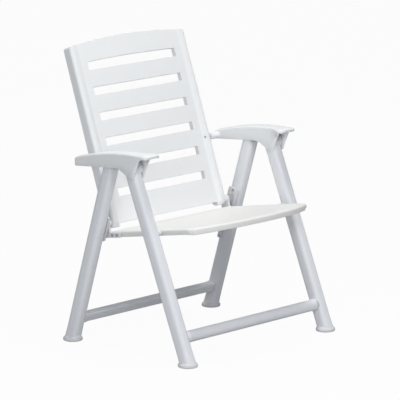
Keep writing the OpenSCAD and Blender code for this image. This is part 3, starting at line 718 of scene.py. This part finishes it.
def back_rows():
    """the grid's rows from the lower ends up: ("z", height), ("low" or "high", slot) or ("crown", share)"""
    marks = {("z", z) for z in (-15.9, -15.0, -13.0, -9.5, -BACK_TAIL, STILE_FULL, 50.0, 300.0, 524.0)}
    for start, end in STILE_POCKETS + SLAT_POCKETS:
        marks |= {("z", start), ("z", start + 1.0), ("z", end - 1.0), ("z", end)}
    for k in range(SLOTS):
        marks |= {("low", k), ("high", k)}

    def height(mark):
        kind, value = mark
        return value if kind == "z" else slot_low(value) + (SLOT_H + 1 if kind == "high" else 0)

    ordered = sorted(marks, key=lambda mark: (height(mark), mark))
    rows = [ordered[0]]
    for mark in ordered[1:]:                # rows closer than 0.4 mm are one row
        if height(mark) - height(rows[-1]) > 0.4:
            rows.append(mark)
        elif mark[0] != "z":
            rows[-1] = mark
    return rows + [("crown", 0.45), ("crown", 1.0)]


def row_height(kind, value, x):
    if kind == "z":
        return value
    if kind == "crown":
        start = BACK_LEN - BACK_SKIN + 0.5
        top = BACK_LEN + BACK_CROWN * max(0.0, 1 - (x / (BACK_HALF - BACK_R)) ** 2)
        return start + (top - start) * value
    if kind == "low":
        return slot_low(value)
    rise = SLOT_ARCH if value == SLOTS - 1 else 0.0
    return slot_low(value) + SLOT_H + rise * max(0.0, 1 - (x / SLOT_HALF) ** 2)


def grid_place(x, kind, value):
    """(x, z) of a point of the grid, pulled in where the top corners are round"""
    corner_x, corner_z = BACK_HALF - BACK_R, BACK_LEN - BACK_R
    out, z = abs(x), row_height(kind, value, x)
    dx, dz = out - corner_x, z - corner_z
    if dx > 0 and dz > 0:
        pull = max(dx, dz) / math.hypot(dx, dz)
        out, z = corner_x + dx * pull, corner_z + dz * pull
    return math.copysign(out, x), z


def grid_depth(x, kind, value, z):
    """front and rear faces of the moulding at a point of the grid"""
    out = abs(x)
    stile_front, stile_rear = stile_faces(z)
    slats = slat_front(z)
    front = slats + (stile_front - slats) * smooth((out - STILE_X + 1.0) / STEP_W)
    front += STILE_EDGE_R - math.sqrt(STILE_EDGE_R ** 2 - max(0.0, out - BACK_HALF + STILE_EDGE_R) ** 2)
    rear = stile_rear if out > STILE_X - 0.5 else slats + SLAT_T
    if kind == "z" and MID_RIB < out < SLOT_HALF - HOLLOW_IN and inside(value, SLAT_POCKETS):
        rear = slats + BACK_SKIN
    in_stile = STILE_X + HOLLOW_IN < out < BACK_HALF - HOLLOW_IN
    if kind != "crown" and in_stile and inside(z, STILE_POCKETS):
        rear = front + BACK_SKIN
    return front, rear


def solid_cells(columns, rows):
    """cells of the grid that hold material, as (column, row)"""
    cells = set()
    in_slot = False
    for j, (kind, value) in enumerate(rows[:-1]):
        in_slot = kind == "low" or (in_slot and kind != "high")
        below_slats = kind == "z" and value < -BACK_TAIL - 0.1
        for i in range(len(columns) - 1):
            out = abs(columns[i] + columns[i + 1]) / 2
            if not (in_slot and out < SLOT_HALF) and not (below_slats and out < STILE_X - 0.3):
                cells.add((i, j))
    return cells


def back_panel():
    """one moulding as a grid: slots cut through, hollows sunk in from behind"""
    columns, rows = back_columns(), back_rows()
    verts, front, rear = [], {}, {}
    for j, (kind, value) in enumerate(rows):
        for i, column in enumerate(columns):
            x, z = grid_place(column, kind, value)
            y_front, y_rear = grid_depth(column, kind, value, z)
            front[i, j] = len(verts)
            verts.append(back_point(x, y_front, z))
            rear[i, j] = len(verts)
            verts.append(back_point(x, y_rear, z))
    cells = solid_cells(columns, rows)
    faces = []
    for i, j in sorted(cells):
        faces.append((front[i, j], front[i + 1, j], front[i + 1, j + 1], front[i, j + 1]))
        faces.append((rear[i, j], rear[i, j + 1], rear[i + 1, j + 1], rear[i + 1, j]))
        # a wall towards each neighbour that isn't there: (neighbour, wall's two corners)
        for neighbour, a, b in (((i, j - 1), (i, j), (i + 1, j)),
                                ((i, j + 1), (i + 1, j + 1), (i, j + 1)),
                                ((i - 1, j), (i, j + 1), (i, j)),
                                ((i + 1, j), (i + 1, j), (i + 1, j + 1))):
            if neighbour not in cells:
                faces.append((front[a], rear[a], rear[b], front[b]))
    return add_bevel(add_object("backrest_skin", verts, faces), width=2.0, segments=3, angle=50.0)


dress(back_panel(), RESIN, "back", "back_resin", "backrest")


# ---------------------------------------------------------------- armrests
# lower edge of the side walls as (y, z), in order from the tip to the rear: the flat tip and the
# front of the flare, the flare's round end, then the arch between the legs and the rear end
SKIRT = [(-125, 607), (-121, 605), (-103, 605), (-99, 601.5), (-95, 596), (-91, 588), (-86, 576.5),
         (-81, 566.5), (-77, 557.5), (-75.4, 550.5)]
SKIRT += arc(*FLARE, FLARE_R, 212, 308, 8)
SKIRT += [(-50, 545.8), (-21, 561), (-14, 564.2), (-7, 565.8), (2, 566), (17, 565.6), (60, 562.1),
          (170, 552.3), (174.5, 553.6)]


def skirt_z(y):
    for (y0, z0), (y1, z1) in zip(SKIRT, SKIRT[1:]):
        if y <= y1:
            return z0 + (z1 - z0) * (y - y0) / (y1 - y0)
    return SKIRT[-1][1]


def arm_top(y):
    return ARM_Z - ARM_FALL * (max(0.0, y - ARM_PEAK) / (ARM_REAR - ARM_PEAK)) ** 2


def arm_stations():
    """y of the armrest's sections, closer together at its ends and at the flare"""
    tip = [ARM_TIP + d for d in (0.0, 0.8, 2.0, 3.6, 5.6, 8.0, 11.0, 14.0, 17.0, 20.0)]
    flare = [-102 + k * 2.0 for k in range(28)]
    arch = [-44 + k * 6.0 for k in range(11)] + [24 + k * 12.0 for k in range(12)]
    rear = [ARM_REAR - d for d in (10.5, 5.5, 3.9, 2.1, 0.9, 0.0)]
    return tip + flare + arch + rear


def arm_section(y):
    """loop of (x, z) round the channel, with x = 0 in its middle and its inner side at -x"""
    tip_end = max(0.0, 1 - (y - ARM_TIP) / TIP_NOSE)
    rear_end = max(0.0, (y - ARM_REAR + ARM_END_R) / ARM_END_R)
    half = ARM_W / 2 - ARM_END_R * (1 - math.sqrt(max(0.0, 1 - rear_end ** 2)))
    if y < ARM_TIP + TIP_R:
        half += math.sqrt(max(0.0, TIP_R ** 2 - (ARM_TIP + TIP_R - y) ** 2)) - TIP_R
    top = arm_top(y) - ARM_DOWN - TIP_DROP * tip_end ** 2 - ARM_END_DROP * rear_end ** 2
    bottom = skirt_z(y) + TIP_RISE * tip_end ** 2 + ARM_END_RISE * rear_end ** 2

    ceiling = top - ARM_TOP_T + ARM_DOWN
    if y < ARM_PEAK:                        # the hollow runs out towards the tip
        ceiling = TIP_CEILING + (ceiling - TIP_CEILING) * max(0.0, y - TIP_SOLID_Y) / (ARM_PEAK - TIP_SOLID_Y)
    lowest = bottom + 0.4
    ceiling += (lowest - ceiling) * smooth((y - (ARM_REAR - END_WALL)) / END_WALL_RUN)
    ceiling = max(ceiling, lowest)

    r = min(ARM_R, (top - bottom) * 0.6, half * 0.6)
    wall_middle = bottom + (top - r - bottom) * 0.5
    flat = half - r
    loop = [(-half, bottom + WALL_EDGE), (-half, wall_middle), (-half, top - r)]
    loop += arc(-flat, top - r, r, 180, 90, 6)[1:]
    for x, z in between((-flat, top), (flat, top), 6):
        loop.append((x, z + ARM_CROWN * (1 - (x / (flat + 0.001)) ** 2)))
    loop += arc(flat, top - r, r, 90, 0, 6)
    loop += [(half, wall_middle), (half, bottom + WALL_EDGE)]

    hollow = max(1.0, half - ARM_WALL)      # half the width of the hollow
    knee = hollow - 2.0 if hollow > 5 else hollow * 0.5
    lip = 1.0 if ceiling > bottom + 2 else 0.2
    inner = [(half - WALL_EDGE, bottom), (hollow + 0.8, bottom), (hollow, bottom + lip),
             (hollow, ceiling - min(2.5, (ceiling - bottom) * 0.4)), (knee, ceiling)]
    return loop + inner + [(0.0, ceiling)] + [(-x, z) for x, z in reversed(inner)]


def armrest(name, side):
    """channel that is open below, with the tip's plate widened inward and the walls below it straight"""
    rings = []
    for y in arm_stations():
        wing = TIP_WING * smooth((FRONT_ARM[0] - y) / WING_RUN)
        ring = []
        for x, z in arm_section(y):
            shift = wing * max(0.0, 0.5 - x / ARM_W) * smooth((z - WING_Z) / WING_RISE)
            ring.append((side * (LEG_X + x - shift), y, z))
        rings.append(ring)
    return add_object(name, *loft(rings))


def arm_boss(name, side):
    """boss that carries the backrest's pin, inside the armrest"""
    start, end = BACK_HALF + BOSS_GAP, LEG_X - ARM_W / 2 + BOSS_IN
    profile = ((start, 8.8), (start + 0.6, 10.4), (start + 2.0, 11.0),
               (end - 6.0, 11.0), (end - 2.5, 11.6), (end, 12.6))
    return add_object(name, *loft(turned(side, ARM_BACK, profile, 40)))


for side, word in SIDES:
    ob = armrest(f"armrest_{word}_skin", side)
    dress(ob, RESIN, f"armrest_{word}", "arm_resin", f"armrest_{word}")
    dress(arm_boss(f"armrest_{word}_boss", side), RESIN, f"armrest_{word}", "arm_resin")


# ---------------------------------------------------------------- CAD nodes that stay
def cad_material(name):
    """material of a CAD node that is shown as it is, or None"""
    # brackets and spacers take the resin copy with slight painted shade
    if name.startswith(("hinge_bracket", "front_spacer")):
        return RESIN_HINGE_PAINTED_SHADE
    # racks and their pins take the darker resin copy with painted shade
    if name.startswith(("rack_left", "rack_right", "rack_pin")):
        return RESIN_RACK_PAINTED_SHADE
    if "pin" in name or "screws" in name:
        return STEEL
    return None


for name, ob in NODES.items():
    mat = cad_material(name)
    if mat:
        ob.data.materials.clear()
        ob.data.materials.append(mat)


# ---------------------------------------------------------------- floor, world and lights
FLOOR_HALF = 30.0           # metres
FLOOR_GREY = 0.55           # grey that the object's shadow falls on
FLOOR_WHITE = 0.96          # share of plain white that the camera sees instead of it
WORLD_COLOUR, WORLD_STRENGTH = (0.90, 0.94, 1.0, 1), 0.33
LIGHT_TARGET = Vector((0.0, 0.0, 0.4))
# name, place, width, power and colour of the soft lights
LIGHTS = (("key", (0.25, 0.05, 3.8), 0.9, 58.0, (1.0, 0.985, 0.965)),
          ("front", (-1.0, -2.7, 2.7), 1.3, 44.0, (0.985, 0.99, 1.0)),
          ("side", (-3.2, -1.6, 1.2), 1.8, 27.0, (0.96, 0.98, 1.0)))


def mix_shaders(tree, share, first, second, out):
    node = tree.nodes.new("ShaderNodeMixShader")
    tree.links.new(share, node.inputs["Fac"])
    tree.links.new(first.outputs[0], node.inputs[1])
    tree.links.new(second.outputs[0], node.inputs[2])
    tree.links.new(node.outputs[0], out.inputs["Surface"])


def floor_material():
    """pale to the camera and grey to the light, so that only a faint shadow shows"""
    mat = bpy.data.materials.new("floor_white")
    tree = clear_tree(mat)
    out = tree.nodes.new("ShaderNodeOutputMaterial")
    grey = tree.nodes.new("ShaderNodeBsdfDiffuse")
    grey.inputs["Color"].default_value = (FLOOR_GREY, FLOOR_GREY, FLOOR_GREY, 1)
    white = tree.nodes.new("ShaderNodeEmission")
    white.inputs["Color"].default_value = (1, 1, 1, 1)
    rays = tree.nodes.new("ShaderNodeLightPath").outputs
    share = calculate(tree, "MULTIPLY", rays["Is Camera Ray"], FLOOR_WHITE)
    mix_shaders(tree, share, grey, white, out)
    return mat


def floor():
    s = FLOOR_HALF
    mesh = bpy.data.meshes.new("floor")
    mesh.from_pydata([(-s, -s, 0), (s, -s, 0), (s, s, 0), (-s, s, 0)], [], [(0, 1, 2, 3)])
    mesh.materials.append(floor_material())
    ob = bpy.data.objects.new("floor", mesh)
    bpy.context.scene.collection.objects.link(ob)


def background(tree, colour, strength):
    node = tree.nodes.new("ShaderNodeBackground")
    node.inputs["Color"].default_value = colour
    node.inputs["Strength"].default_value = strength
    return node


def world():
    """soft daylight on the object, plain white behind it"""
    sky = bpy.data.worlds.new("world")
    bpy.context.scene.world = sky
    tree = clear_tree(sky)
    out = tree.nodes.new("ShaderNodeOutputWorld")
    lit = background(tree, WORLD_COLOUR, WORLD_STRENGTH)
    seen = background(tree, (1, 1, 1, 1), 1.0)
    rays = tree.nodes.new("ShaderNodeLightPath").outputs
    share = calculate(tree, "MAXIMUM", rays["Is Camera Ray"], rays["Is Transmission Ray"])
    mix_shaders(tree, share, lit, seen, out)


def soft_light(name, place, width, power, colour):
    data = bpy.data.lights.new(name, "AREA")
    data.shape = "DISK"
    data.size = width
    data.energy = power
    data.color = colour
    ob = bpy.data.objects.new(name, data)
    bpy.context.scene.collection.objects.link(ob)
    ob.location = place
    ob.rotation_euler = (LIGHT_TARGET - Vector(place)).to_track_quat("-Z", "Y").to_euler()


floor()
world()
for light in LIGHTS:
    soft_light(*light)

bpy.context.scene.view_settings.view_transform = "Standard"
